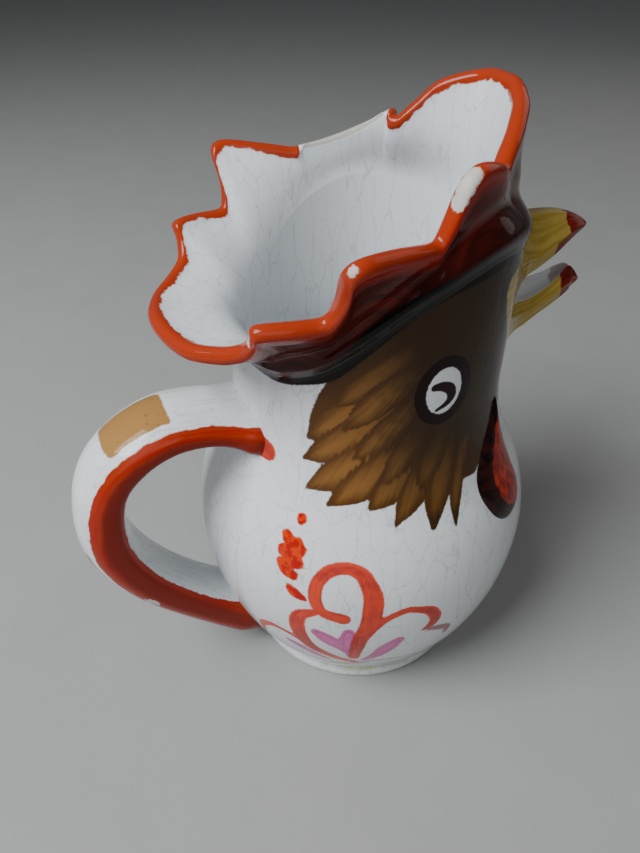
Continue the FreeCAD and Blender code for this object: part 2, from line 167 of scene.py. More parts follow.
def crest_side(sideways, broken):
    """The comb's crest round one side, one point to each whole degree from 0 to 180."""
    rows = CREST if broken else NEAR_FRONT + CREST[len(NEAR_FRONT):]
    turns = np.array([row[0] for row in rows], float)
    points = np.array([(x, y * sideways, z) for _, x, y, z in rows], float)
    notched = [row[0] in NOTCHES for row in rows]
    slopes = np.zeros_like(points)
    for number in range(1, len(rows) - 1):
        if not notched[number]:
            slopes[number] = ((points[number + 1] - points[number - 1])
                              / (turns[number + 1] - turns[number - 1]))
    slopes[0] = (0, points[1][1] / turns[1], 0)
    slopes[-1] = (0, -points[-2][1] / (turns[-1] - turns[-2]), 0)
    line = []
    for degree in range(181):
        span = min(np.searchsorted(turns, degree, side="right") - 1, len(rows) - 2)
        gap = turns[span + 1] - turns[span]
        straight = (points[span + 1] - points[span]) / gap
        leave = straight if notched[span] else slopes[span]
        arrive = straight if notched[span + 1] else slopes[span + 1]
        part = (degree - turns[span]) / gap
        line.append(ease(points[span], points[span + 1], leave * gap, arrive * gap, part))
    line = np.array(line)
    if broken:
        first, last = BREAK
        part = np.linspace(0, 1, last - first + 1)[:, None]
        start, finish = np.array(BREAK_ENDS, float)
        bow = np.array(BREAK_BOW) * 4 * part * (1 - part)
        line[first:last + 1] = start * (1 - part) + finish * part + bow
    return line


def comb_rings():
    """Foot and crest of the comb all the way round, one point to a degree."""
    far = crest_side(1, True)
    near = crest_side(-1, False)
    crest = softened(np.vstack([far, near[179:0:-1]]), 1)
    turns = np.arange(AROUND)
    across = np.minimum(turns, 360 - turns)
    level = softened(np.interp(across, *np.array(COMB_FOOT, float).T), 4)
    foot = np.stack([NECK_RADIUS * np.cos(np.radians(turns)),
                     NECK_RADIUS * np.sin(np.radians(turns)), level], -1)
    return foot, crest


COMB_BASE, COMB_CREST = comb_rings()
COMB_RISE = softened(np.linalg.norm(COMB_CREST - COMB_BASE, axis=1), 2)
COLUMNS = np.arange(AROUND)
BROKEN = softened(((COLUMNS > BREAK[0] + 2) & (COLUMNS < BREAK[1] - 2)) * 1.0, 1)
OUTWARD = COMB_BASE * (1 / NECK_RADIUS, 1 / NECK_RADIUS, 0)
# The roll of clay just above the comb's foot and the groove over it: middle, spread, height.
ROLL, GROOVE = (5.5, 3.0, 1.5), (12.5, 3.2, -1.2)
FULL_RISE = 24            # the comb's height from which the roll and groove are full
# How far the comb's wall falls in beside the front lobe; its turn and height; its spreads.
FRONT_HOLLOW, HOLLOW_MIDDLE, HOLLOW_SPREAD = 2.5, (42, 18), (20, 9)
# How strongly the comb's wall leaves its foot, and how it meets its crest.
LEAVE_UP, ARRIVE_ALONG, ARRIVE_OUT = 1.1, 0.9, 0.35
# Part of the comb's height over which its section turns square, and over which it is centred.
TURN_SQUARE, CENTRED = 0.3, 0.8


def comb_face(column, part, swell):
    """The comb's face: column is the whole degree, part runs from the foot to the crest.

    swell is 1 where the roll and groove show, on the outside, and 0 inside.
    """
    rise = COMB_RISE[column][:, None]
    foot, crest, out = COMB_BASE[column], COMB_CREST[column], OUTWARD[column]
    way = (crest - foot) / rise
    up = np.array((0, 0, 1.0))
    leave = rise * up * LEAVE_UP
    arrive = rise * (ARRIVE_ALONG * way + ARRIVE_OUT * out)
    face = ease(foot, crest, leave, arrive, part[:, None])
    height = part * COMB_RISE[column]
    for middle, spread, bulge in (ROLL, GROOVE):
        face += out * (swell * bulge * np.exp(-((height - middle) / spread) ** 2)
                       * np.clip(COMB_RISE[column] / FULL_RISE, 0, 1))[:, None]
    across = np.minimum(column, 360 - column)
    hollow = np.exp(-((across - HOLLOW_MIDDLE[0]) / HOLLOW_SPREAD[0]) ** 2
                    - ((height - HOLLOW_MIDDLE[1]) / HOLLOW_SPREAD[1]) ** 2)
    return face - out * (FRONT_HOLLOW * hollow)[:, None]


def comb_square(column, part):
    """Unit direction into the wall, square to the comb's outer face."""
    reach, nudge = 3, 0.02
    along = (comb_face((column + reach) % AROUND, part, 0)
             - comb_face((column - reach) % AROUND, part, 0))
    low = comb_face(column, np.clip(part - nudge, 0, 1), 0)
    rise = comb_face(column, np.clip(part - nudge, 0, 1) + nudge, 0) - low
    square = np.cross(rise, along)
    square /= np.linalg.norm(square, axis=1)[:, None]
    inward = np.sum(square * OUTWARD[column], 1) > 0
    square[inward] *= -1
    share = np.clip(part / TURN_SQUARE, 0, 1)[:, None]
    share = share * share * (3 - 2 * share)
    blended = square * share - OUTWARD[column] * (1 - share)
    return blended / np.linalg.norm(blended, axis=1)[:, None]


# ---- the jug
def jug_rows():
    """Radius and height of each row of the wall before it is bent, from the foot to the floor."""
    rows = [(0, 0.8), (20, 0.8), (40, 0.8), (42.5, 0), (FOOT_RADIUS - 1.5, 0),
            (FOOT_RADIUS - 0.5, 0.5), (FOOT_RADIUS, 1.5), (FOOT_RADIUS, 4)]
    for level in np.linspace(FOOT_HEIGHT - 1.5, NECK_LEVEL, 76):
        rows.append((float(wall_radius(level)), level))
    for low, high, count in ((NECK_LEVEL, COMB_START, 49), (COMB_START, COMB_END, 45)):
        rows += [(NECK_RADIUS, level) for level in np.linspace(low, high, count)[1:]]
    middle = NECK_RADIUS - WALL / 2
    for angle in np.radians(np.linspace(-20, 200, 12)):
        rows.append((middle + RIM_BEAD * math.cos(angle),
                     COMB_END + 2 + RIM_BEAD * math.sin(angle)))
    rows += [(NECK_RADIUS - WALL, level) for level in np.linspace(COMB_END, COMB_START, 19)]
    rows += [(NECK_RADIUS - WALL, level) for level in np.linspace(COMB_START, NECK_LEVEL, 13)[1:]]
    for level in np.linspace(NECK_LEVEL, FOOT_HEIGHT + 8, 26)[1:]:
        rows.append((float(wall_radius(level)) - WALL, level))
    return rows + [(36, FOOT_HEIGHT + 6.2), (18, FOOT_HEIGHT + 6), (0, FOOT_HEIGHT + 6)]


def straight_level(level):
    """Height before bending of a level on the front of the neck."""
    front = COMB_BASE[0][2]
    return NECK_LEVEL + (level - NECK_LEVEL) * (COMB_START - NECK_LEVEL) / (front - NECK_LEVEL)


def cut_window(mesh):
    """Open the spout's window through both faces of the wall and close its edges."""
    low, high = (straight_level(level) for level in WINDOW_LEVELS)
    doomed = []
    for face in mesh.faces:
        centre = face.calc_center_median()
        turn = math.degrees(math.atan2(centre.y, centre.x))
        if abs(turn) < WINDOW_TURN and low < centre.z < high:
            doomed.append(face)
    bmesh.ops.delete(mesh, geom=doomed, context="FACES")
    edges = [edge for edge in mesh.edges if edge.is_boundary]
    bmesh.ops.bridge_loops(mesh, edges=edges)


def spin_jug():
    """The jug with a straight neck, as a bmesh in millimetres."""
    mesh = bmesh.new()
    corners = [mesh.verts.new((radius, 0, level)) for radius, level in jug_rows()]
    edges = [mesh.edges.new(pair) for pair in zip(corners, corners[1:])]
    bmesh.ops.spin(mesh, geom=corners + edges, cent=(0, 0, 0), axis=(0, 0, 1), dvec=(0, 0, 0),
                   angle=math.tau, steps=AROUND, use_merge=True)
    bmesh.ops.remove_doubles(mesh, verts=mesh.verts[:], dist=MERGE)
    cut_window(mesh)
    bmesh.ops.recalc_face_normals(mesh, faces=mesh.faces[:])
    return mesh


def bend_jug(straight):
    """Where each point of the straight jug goes, and its paint distances on the comb."""
    turn = np.degrees(np.arctan2(straight[:, 1], straight[:, 0])) % 360
    column = np.rint(turn).astype(int) % AROUND
    radius = np.hypot(straight[:, 0], straight[:, 1])
    level = straight[:, 2]
    depth = NECK_RADIUS - radius
    bent = straight.copy()
    neck = (level > NECK_LEVEL) & (level <= COMB_START)
    share = (level - NECK_LEVEL) / (COMB_START - NECK_LEVEL)
    bent[neck, 2] = (NECK_LEVEL + share * (COMB_BASE[column, 2] - NECK_LEVEL))[neck]
    comb = level > COMB_START
    wall_end = 1 - RIM_RISE / COMB_RISE[column]
    over = np.clip(level - COMB_END, 0, None)
    flat = BROKEN[column]
    part = np.clip((level - COMB_START) / (COMB_END - COMB_START), 0, 1)
    part = part * (wall_end + flat * (1 - wall_end) * BREAK_SHARE)
    over = over * (1 - flat) + np.clip(over, 0, BREAK_CROWN) * flat
    inset = depth * (1 - flat) + np.clip(depth, 0, WALL) * flat
    at, into, drop = column[comb], part[comb], over[comb]
    inner = depth > WALL / 2
    face = comb_face(at, into, np.where(inner[comb], 0, 1))
    square = comb_square(at, into)
    rise = comb_face(at, into, 0) - comb_face(at, into - 0.03, 0)
    rise /= np.linalg.norm(rise, axis=1)[:, None]
    centred = inset[comb] - WALL / 2 * np.clip(into / CENTRED, 0, 1)
    bent[comb] = face + square * centred[:, None] + rise * drop[:, None]
    height = np.where(comb, part * COMB_RISE[column] + over, level - COMB_START)
    below_crest = COMB_RISE[column] - part * COMB_RISE[column] - over
    clay = np.where(comb & (flat > 0.5), BARE_CLAY - np.abs(below_crest), -9.0)
    crest = np.where(comb, below_crest + flat * UNPAINTED, 60.0) * np.where(inner, -1, 1)
    return bent, {"round": turn, "comb": height, "crest": crest, "clay": clay}


# ---- brushwork
# Every stroke is a line of turn, level and width; every patch an outline of turn and level.
# Both sides of the jug carry the same painting.
ORANGE_STROKES = {
    "loop": [(121.5, 65.5, 6), (127.4, 67.4, 5), (129.8, 71.8, 5), (130.3, 76.9, 5),
             (129.5, 81.7, 5), (127, 86, 5), (124, 88, 5), (120.4, 88.6, 5), (116.6, 87, 5.5),
             (114.6, 83.8, 6), (112.7, 78, 7), (112.5, 71.5, 7.5), (113.3, 62, 7), (115.6, 53.5, 6),
             (117, 42, 5), (117.5, 35, 4)],
    "swirl": [(131.3, 66, 4), (135, 63, 5.5), (136.5, 57, 6.5), (136, 49.6, 6.5),
              (133.4, 41.5, 6), (128, 36, 5), (122, 31.5, 4), (117, 29, 3.5)],
    "back_arc": [(155, 29, 1.5), (153, 39.7, 3.5), (148, 45.6, 3.2), (143, 46.4, 2.6),
                 (138.7, 45, 2.4), (135, 41.6, 2)],
    "front_arc": [(115.5, 50, 3.5), (113, 57.5, 3.6), (110, 63.4, 3.4), (106.7, 67, 3.2),
                  (102, 69.4, 3.2), (98, 68.3, 3.6), (94, 66, 4.6), (91.7, 61, 5), (92.5, 56.5, 4),
                  (95.5, 54, 1.5)],
    "upper_handle_end": [(176, 118.5, 8), (168, 119.5, 9), (160, 119, 8), (156.5, 118.5, 7)],
}
TAIL = [(93, 53.5, 2.5), (88.6, 51.5, 3.5), (85, 48.5, 3.5), (84.5, 43.5, 2)]
GROUND_LINE = [(150, 30, 1.5), (140, 26, 2), (131.7, 23, 2.2), (121.8, 24, 2.5), (116, 27, 2.8),
               (110, 30.5, 2.4), (100.6, 30.3, 1.8), (91.6, 28, 1.2)]
PETALS = {
    "back": [(130, 54, 4.5), (126, 50, 7.5), (122, 45, 5), (119.5, 40, 2.5)],
    "middle": [(119.5, 57.5, 4.5), (119.4, 50.5, 7.5), (119.5, 43, 4.5), (118.8, 36, 2)],
    "front": [(103, 50.5, 4.5), (106.5, 44.5, 7), (110, 37.5, 5), (114, 32, 2)],
    "low": [(142, 38.5, 2.5), (137, 36, 5), (131, 31.5, 4), (126, 28, 1.5)],
}
RED_DABS = {
    "dot": [(137.6, 101.9, 3.8), (137.4, 101.3, 3.8)],
    "first": [(141.6, 95.6, 4), (139.6, 93, 5), (138, 90.6, 4.4)],
    "second": [(137.2, 94.4, 3.6), (136.2, 91.4, 4.2)],
    "spike_high": [(136.2, 93, 2.4), (133, 91.8, 0.6)],
    "third": [(142.2, 90.2, 4), (139.4, 88.2, 5), (136.8, 87, 4)],
    "fourth": [(137.2, 90, 4), (136.4, 86.6, 4.4)],
    "spike_low": [(136, 87.2, 2.8), (133.2, 86, 0.6)],
    "fifth": [(142, 85.6, 4), (140, 82.8, 5), (137.6, 81.6, 4.2)],
    "last": [(138.6, 76, 3.2), (136.6, 74, 4.6), (133.6, 72.4, 2.6)],
}
BLACK_LINES = {
    "comb_foot": [(190, 150.2, 3), (180, 150, 3), (166, 149.5, 3), (152, 148.6, 3.2),
                  (141, 151, 3.6), (131, 155.4, 5.6), (122, 163.6, 7.2), (115, 170, 8),
                  (106, 176.6, 8), (97, 180.4, 7), (89, 182.8, 7), (80, 184.4, 7.6),
                  (72, 185.4, 7.6), (64, 186, 7.4), (50, 184, 7), (24, 181, 6), (0, 180, 6),
                  (-20, 180, 6)],
    "cheek": [(47, 188, 6), (49, 184, 5.5), (54, 180, 5), (61, 178, 5), (63, 172, 4.2),
              (60.5, 166, 3.6), (56.5, 160, 3.2), (48.5, 151.5, 2.8), (40, 145, 2.6),
              (31, 139.5, 2.6), (23, 136, 2.6), (10, 132.5, 2.6), (-10, 132.5, 2.6)],
    "face": [(56.5, 159, 3.4), (52, 150, 3.8), (49, 142, 3.8), (48.5, 134, 3.8), (50, 128, 3)],
    "throat": [(31, 139, 3), (38, 134.5, 3.4), (44, 129, 4), (48, 122, 4.5)],
}
CHEEK = [(-30, 199), (40, 197), (48, 191), (47, 184), (51, 178.5), (59, 177.5), (60.5, 172),
         (58, 166), (54, 160), (46, 152), (38, 146), (30, 141), (23, 138), (10, 134.5), (-30, 133)]
PLUMAGE = [(130, 155), (135, 147), (138, 139), (139.4, 131), (134, 134.8), (127.5, 128.5),
           (126, 118), (111, 118), (97.9, 116.2), (92.5, 111), (79.7, 111), (71, 110), (60, 117),
           (53, 125), (44, 132), (46, 150), (54, 160), (60, 172), (58, 182), (54, 194), (66, 193),
           (73, 190), (83, 187), (92, 184), (104, 178), (112, 172), (121, 165), (127, 160)]
FEATHERS = [
    [(112, 150, 9), (122, 143, 11), (131, 135.5, 9), (139.6, 129.4, 1)],
    [(108, 143, 9), (120, 135, 11.5), (131, 127, 9.5), (140.4, 121.7, 1)],
    [(103, 136, 9), (115, 127, 12), (127, 118.5, 11), (137.5, 112.2, 2)],
    [(98, 131, 9), (108, 123, 12), (119, 115, 11), (128.9, 108.3, 2)],
    [(93, 129, 9), (100, 121, 11.5), (108, 113.5, 10), (114.9, 107.5, 1)],
    [(88, 128, 8), (93, 119, 11), (99.5, 110.5, 9.5), (105.8, 102, 1)],
    [(83, 127, 8), (86, 117, 10.5), (90, 108, 9), (92.6, 99, 2)],
    [(75, 124, 6), (79, 114, 5.5), (82, 106, 5), (84.2, 97.5, 1)],
    [(104, 163, 7), (112, 157, 9), (121, 150, 8), (128, 144, 1)],
    [(101, 156, 7), (110, 149, 10), (118, 142, 8), (125, 135.5, 1)],
    [(98, 146, 7), (106, 138, 10), (114, 130.5, 8), (121, 124.5, 1)],
    [(93, 138, 7), (99, 130, 9.5), (105, 122, 8), (110, 116, 1)],
    [(86, 136, 7), (89, 127, 9), (93, 119, 8), (96, 112, 1)],
]
FAN_TOP = (72.0, 192.0)   # where the feather strokes fan out from
EYE_MIDDLE, EYE_RING, EYE_WHITE = (88.3, 147.3), (10.0, 12.4), (6.2, 8.3)
PUPIL = [(92.6, 149.4, 2.6), (89.2, 149.2, 3.4), (86, 147.6, 3.8), (84.8, 144.8, 3.2),
         (86.6, 142.4, 2.2), (91, 140.6, 1.2)]


def stroke_depth(points, way, steps=4):
    """How far inside a brush stroke each point lies, in millimetres; below zero outside it."""
    way = smooth_way(way, steps)
    line, half = on_wall(way[:, 0], way[:, 1]), way[:, 2] / 2
    deepest = np.full(len(points), -99.0)
    for start, finish, first, last in zip(line, line[1:], half, half[1:]):
        run = finish - start
        part = np.clip((points - start) @ run / max(run @ run, 1e-9), 0, 1)
        gap = np.linalg.norm(points - start - part[:, None] * run, axis=1)
        deepest = np.maximum(deepest, first + (last - first) * part - gap)
    return deepest


def strokes_depth(points, strokes):
    """The same for a set of strokes."""
    return np.max([stroke_depth(points, way) for way in strokes], axis=0)


def patch_depth(points, turn, level, outline):
    """How far inside a closed outline each point lies."""
    outline = np.array(outline, float)
    closed = np.vstack([outline, outline[:1]])
    line = on_wall(closed[:, 0], closed[:, 1])
    nearest = np.full(len(points), 99.0)
    inside = np.zeros(len(points), bool)
    for number in range(len(outline)):
        start, run = line[number], line[number + 1] - line[number]
        part = np.clip((points - start) @ run / (run @ run), 0, 1)
        gap = np.linalg.norm(points - start - part[:, None] * run, axis=1)
        nearest = np.minimum(nearest, gap)
        (t0, z0), (t1, z1) = closed[number], closed[number + 1]
        if z0 != z1:
            crossing = t0 + (level - z0) / (z1 - z0) * (t1 - t0)
            inside ^= ((z0 > level) != (z1 > level)) & (turn < crossing)
    return np.where(inside, nearest, -nearest)


def oval_depth(turn, level, middle, halves):
    """How far inside an oval on the neck each point lies."""
    across = np.radians(turn - middle[0]) * NECK_RADIUS
    up = level - middle[1]
    size = np.hypot(across / halves[0], up / halves[1])
    return (1 - size) * min(halves)


def feather_body(points):
    """Depth in the feathers and how near each point is to the middle of its feather."""
    depth = np.full(len(points), -99.0)
    middle = np.zeros(len(points))
    for way in FEATHERS:
        inside = stroke_depth(points, way, 5)
        full = max(width for _, _, width in way) / 2
        middle = np.where(inside > 0, np.clip(inside / full, 0, 1), middle)
        depth = np.maximum(depth, inside)
    return depth, middle


def paint_distances(bent, rings):
    """Every brushwork distance on the jug, by name."""
    outer = rings["crest"] > 0
    points = np.stack([bent[:, 0], -np.abs(bent[:, 1]), bent[:, 2]], -1)
    turn = np.minimum(rings["round"], 360 - rings["round"])
    level = bent[:, 2]
    feathers, middle = feather_body(points)
    plumage = patch_depth(points, turn, level, PLUMAGE)
    fan_across = np.radians(turn - FAN_TOP[0]) * NECK_RADIUS
    fan_down = FAN_TOP[1] - level
    chips = [size - np.linalg.norm(bent - COMB_CREST[-where], axis=1)
             for where, size in RIM_CHIPS]
    found = {
        "orange": strokes_depth(points, ORANGE_STROKES.values()),
        "tail": stroke_depth(points, TAIL),
        "ground": stroke_depth(points, GROUND_LINE),
        "petal": strokes_depth(points, PETALS.values()),
        "dab": strokes_depth(points, RED_DABS.values()),
        "black": strokes_depth(points, BLACK_LINES.values()),
        "cheek": patch_depth(points, turn, level, CHEEK),
        "feather": np.maximum(feathers, plumage),
        "feather_middle": middle,
        "fan": np.degrees(np.arctan2(fan_across, fan_down)),
        "fan_reach": np.hypot(fan_across, fan_down),
        "eye_ring": oval_depth(turn, level, EYE_MIDDLE, EYE_RING),
        "eye_white": oval_depth(turn, level, EYE_MIDDLE, EYE_WHITE),
        "pupil": stroke_depth(points, PUPIL),
    }
    found = {name: np.where(outer, depth, -30.0) for name, depth in found.items()}
    found.update(turn=turn, chip=np.max(chips, axis=0), comb=rings["comb"],
                 crest=rings["crest"], clay=rings["clay"])
    return found


# ---- making pieces
def coordinates(mesh):
    """Where a mesh's points are, one row to a point."""
    flat = np.zeros(len(mesh.vertices) * 3)
    mesh.vertices.foreach_get("co", flat)
    return flat.reshape(-1, 3)


def add_object(name, data):
    """A new object in the scene."""
    thing = bpy.data.objects.new(name, data)
    bpy.context.scene.collection.objects.link(thing)
    return thing


def flat_sheet(name, across, along, size):
    """A square sheet as a new mesh."""
    sheet = bmesh.new()
    bmesh.ops.create_grid(sheet, x_segments=across, y_segments=along, size=size)
    mesh = bpy.data.meshes.new(name)
    sheet.to_mesh(mesh)
    sheet.free()
    return mesh


def note(mesh, name, values):
    """Keep one number to each point of a mesh, for its glaze to read."""
    layer = mesh.attributes.new(name, "FLOAT", "POINT")
    layer.data.foreach_set("value", np.asarray(values, np.float32))


def finish_piece(name, mesh, material, nodes):
    """Bring a mesh in millimetres to metres and set it in the scene as a piece."""
    piece = add_object(name, mesh)
    mesh.vertices.foreach_set("co", (coordinates(mesh) * MM).ravel())
    mesh.update()
    mesh.materials.clear()
    mesh.materials.append(material)
    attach(piece, "root")
    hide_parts(*nodes)


def smooth_faces(mesh):
    mesh.polygons.foreach_set("use_smooth", np.ones(len(mesh.polygons), bool))


def part_of_jug(source, keep_comb):
    """The straight jug's comb or its body, closed where the two meet."""
    mesh = source.copy()
    others = [face for face in mesh.faces
              if (face.calc_center_median().z > COMB_START) != keep_comb]
    bmesh.ops.delete(mesh, geom=others, context="FACES")
    seam = [edge for edge in mesh.edges if edge.is_boundary]
    for edge in seam:
        edge.smooth = False
    bmesh.ops.bridge_loops(mesh, edges=seam)
    return mesh


def make_jug(material):
    whole = spin_jug()
    for name, keep_comb, slot, nodes in (("jug_body", False, "white_glaze", ("vessel", "foot")),
                                         ("comb_rim", True, "comb_glaze", ("comb",))):
        part = part_of_jug(whole, keep_comb)
        mesh = bpy.data.meshes.new(name)
        part.to_mesh(mesh)
        part.free()
        bent, rings = bend_jug(coordinates(mesh))
        mesh.vertices.foreach_set("co", bent.ravel())
        for label, values in paint_distances(bent, rings).items():
            note(mesh, label, values)
        smooth_faces(mesh)
        finish_piece(name, mesh, material, nodes)
    whole.free()


def bent_sheet(name, across, along, place, notes):
    """A square sheet bent into a closed skin.

    place takes the sheet's two coordinates, both from 0 to 1, and gives the points; notes
    takes them and gives the numbers that the glaze reads.
    """
    mesh = flat_sheet(name, across, along, 0.5)
    flat = coordinates(mesh) + 0.5
    mesh.vertices.foreach_set("co", place(flat[:, 0], flat[:, 1]).ravel())
    for label, values in notes(flat[:, 0], flat[:, 1]).items():
        note(mesh, label, values)
    closed = bmesh.new()
    closed.from_mesh(mesh)
    bmesh.ops.remove_doubles(closed, verts=closed.verts[:], dist=MERGE)
    bmesh.ops.recalc_face_normals(closed, faces=closed.faces[:])
    closed.to_mesh(mesh)
    closed.free()
    smooth_faces(mesh)
    return mesh


def held_outside(points):
    """Push points that lie too deep in the jug's wall out to a set depth below its face."""
    radius = np.hypot(points[:, 0], points[:, 1])
    limit = wall_radius(points[:, 2]) - ROOT_DEPTH
    short = radius < limit
    ahead = np.sqrt(np.clip(limit ** 2 - points[:, 1] ** 2, 0, None))
    points[short, 0] = np.copysign(ahead, points[:, 0])[short]
    return points


# ---- the strap
STRAP_WAY = smooth_way(STRAP, 12)
STRAP_STEPS = np.linalg.norm(np.diff(STRAP_WAY[:, :2], axis=0), axis=1)
STRAP_RUN = np.concatenate([[0], np.cumsum(STRAP_STEPS)])
SQUARENESS = 3.4
# Where the strap meets the body: how fast it swells, and by how much in width and thickness.
FLARE_REACH, FLARE_WIDTH, FLARE_THICKNESS = 5.0, 0.16, 0.45


def strap_section(across, along):
    """Middle, slope, size, place in the section and run of each place on the strap's sheet."""
    spot = along * STRAP_RUN[-1]
    x, z, width, thick = (np.interp(spot, STRAP_RUN, STRAP_WAY[:, k]) for k in range(4))
    slope_x = np.interp(spot, STRAP_RUN, np.gradient(STRAP_WAY[:, 0], STRAP_RUN))
    slope_z = np.interp(spot, STRAP_RUN, np.gradient(STRAP_WAY[:, 1], STRAP_RUN))
    gap = np.hypot(slope_x, slope_z)
    slope_x, slope_z = slope_x / gap, slope_z / gap
    off_wall = np.clip(np.abs(x) - wall_radius(z), 0, None)
    flare = np.exp(-off_wall / FLARE_REACH)
    width, thick = width * (1 + FLARE_WIDTH * flare), thick * (1 + FLARE_THICKNESS * flare)
    angle = across * math.tau
    a, b = np.sin(angle), np.cos(angle)
    size = (np.abs(a) ** SQUARENESS + np.abs(b) ** SQUARENESS) ** (-1 / SQUARENESS)
    return x, z, slope_x, slope_z, width, thick, a * size, b * size, spot


def place_strap(across, along):
    x, z, slope_x, slope_z, width, thick, a, b, _ = strap_section(across, along)
    lift = b * thick / 2 + np.clip(b, 0, 1) * (1 - a * a) * STRAP_DOME
    points = np.stack([x + slope_z * lift, a * width / 2, z - slope_x * lift], -1)
    return held_outside(points)


# Brushed patches on the outer face: run from the upper root, half length, sideways, half width.
OCHRE_PATCHES = [(45.0, 9.6, -0.5, 8.8), (100.0, 9.0, 0.5, 8.8), (142.0, 8.0, 0.0, 7.5)]
STRAP_CHIP = (122.0, 2.3)    # run and size of the chip in the near edge


def strap_notes(across, along):
    _, _, _, _, width, thick, a, b, spot = strap_section(across, along)
    side = np.abs(a) * width / 2
    round_edge = np.where(b > 0, side + (1 - b) * thick / 2,
                          width + thick - side - (1 + b) * thick / 2)
    band = np.minimum(round_edge - (width / 2 - 1.5), width / 2 + thick + 1.0 - round_edge)
    ochre = np.full(len(spot), -20.0)
    for middle, half_run, sideways, half_width in OCHRE_PATCHES:
        inside = np.minimum(half_run - np.abs(spot - middle),
                            half_width - np.abs(a * width / 2 - sideways))
        ochre = np.maximum(ochre, np.where(b > 0.3, inside, -20))
    chip = STRAP_CHIP[1] - np.hypot((spot - STRAP_CHIP[0]) / 1.6, round_edge - width / 2 - 1)
    return {"band": band, "ochre": ochre, "edge": round_edge - width / 2, "run": spot,
            "sideways": a * width / 2, "chip": np.where(a < 0, chip, -9)}


# ---- the beak
BEAK_WIDTH = [(34, 32.4), (40, 26), (45, 21.5), (50, 17.5), (54, 14.5), (60, 11.5), (75, 8),
              (86, 4.4), (89, 2.6), (92, 1.8), (94.1, 0.6)]
UPPER_RIDGE = [(34, 184), (48, 180.5), (58, 177.4), (65.6, 177), (71.4, 176.5), (78.7, 175.1),
               (86.6, 171.9), (89.4, 169)]
UPPER_RIM = [(34, 174), (40.4, 170.9), (48, 167.5), (56, 165), (63.3, 163.8), (69.6, 165.8),
             (76.5, 167.9), (82.3, 169.4), (89.4, 169)]
UPPER_LIP = [(34, 150), (42, 150.5), (46.5, 151.8), (51.8, 155.8), (56, 157.6), (61.2, 158.4),
             (66.7, 160), (71.1, 161.6), (78, 165), (84, 167.4), (89.4, 168.6)]
LOWER_RIM = [(34, 150), (44, 149.5), (48, 147), (54.2, 143.6), (63.8, 142.1), (71.8, 144),
             (77.6, 145.2), (86.1, 146.4), (90, 147.4), (94.1, 145.6)]
LOWER_KEEL = [(34, 124), (46, 129.5), (51.7, 132), (61.1, 133.6), (67.8, 136.4), (77.7, 138.8),
              (87.7, 141.6), (92, 143.8), (94.1, 145)]
LOWER_LIP = [(34, 151), (46, 150), (54, 147.4), (64, 145.8), (72, 147.2), (78, 149), (83, 151.6),
             (86.5, 152.6), (90, 150.2), (94.1, 145.8)]
TROUGH = [(34, 139), (46, 140), (60, 140.3), (72, 141.5), (80, 144), (85, 148.5), (88, 150.4),
          (94.1, 145.8)]


CORNER_SOFTNESS = 0.16    # how far a beak's section is drawn in to its corners
BEAK_CAP = 0.06           # part of a beak's sheet that closes each end


def follow(line, x):
    """A smooth line's value at each x."""
    way = smooth_way(line, 8)
    return np.interp(x, way[:, 0], way[:, 1])


def half_section(corners, part):
    """Points round half a section, from corner to corner, softened at each corner."""
    count = len(corners) - 1
    spot = np.clip(part, 0, 1) * count
    number = np.minimum(spot.astype(int), count - 1)
    inside = spot - number
    inside -= CORNER_SOFTNESS * np.sin(inside * math.tau)
    stacked = np.stack(corners)
    rows = np.arange(len(part))
    start, finish = stacked[number, rows], stacked[number + 1, rows]
    return start * (1 - inside[:, None]) + finish * inside[:, None]


def beak_places(across, along, ends):
    """How far forward each place on a half of the beak is, and its part of the half section."""
    run = np.clip((along - BEAK_CAP) / (1 - 2 * BEAK_CAP), 0, 1)
    part = np.where(across < 0.5, across * 2, (1 - across) * 2)
    return ends[0] + (ends[1] - ends[0]) * run, part


def beak_skin(corners_at, ends):
    """Place for a half of the beak whose half section is given at each x."""
    def place(across, along):
        x, part = beak_places(across, along, ends)
        closing = np.clip((along - (1 - BEAK_CAP)) / BEAK_CAP, 0, 1)
        opening = np.clip((BEAK_CAP - along) / BEAK_CAP, 0, 1)
        side = np.where(across < 0.5, -1.0, 1.0)
        corners = corners_at(x)
        flat = half_section(corners, part)
        middle = np.mean(np.stack([corners[0], corners[-1]]), axis=0)
        shrink = (1 - closing) * (1 - opening)
        height = middle[:, 1] + (flat[:, 1] - middle[:, 1]) * shrink
        return held_outside(np.stack([x, side * (flat[:, 0] * shrink), height], -1))
    return place


def upper_corners(x):
    """Corners of the upper half's section, from its ridge round to its underside."""
    width = follow(BEAK_WIDTH, x)
    ridge, rim, lip = follow(UPPER_RIDGE, x), follow(UPPER_RIM, x), follow(UPPER_LIP, x)
    strip = np.minimum(2.2, width * 0.4)
    nil = np.zeros_like(x)
    rim = np.minimum(rim, ridge - 0.3)
    lip = np.minimum(lip, rim - 0.3)
    corners = [(nil, ridge), (strip, ridge - 0.25), (width * 0.62, ridge * 0.45 + rim * 0.55 + 0.8),
               (width * 0.97, rim + 0.5), (width, rim - 0.2), (width * 0.95, lip + 0.6),
               (width * 0.9, lip), (width * 0.5, np.minimum(lip + 1.6, ridge - 1.2)),
               (nil, np.minimum(lip + 2.0, ridge - 1.0))]
    return [np.stack(pair, -1) for pair in corners]


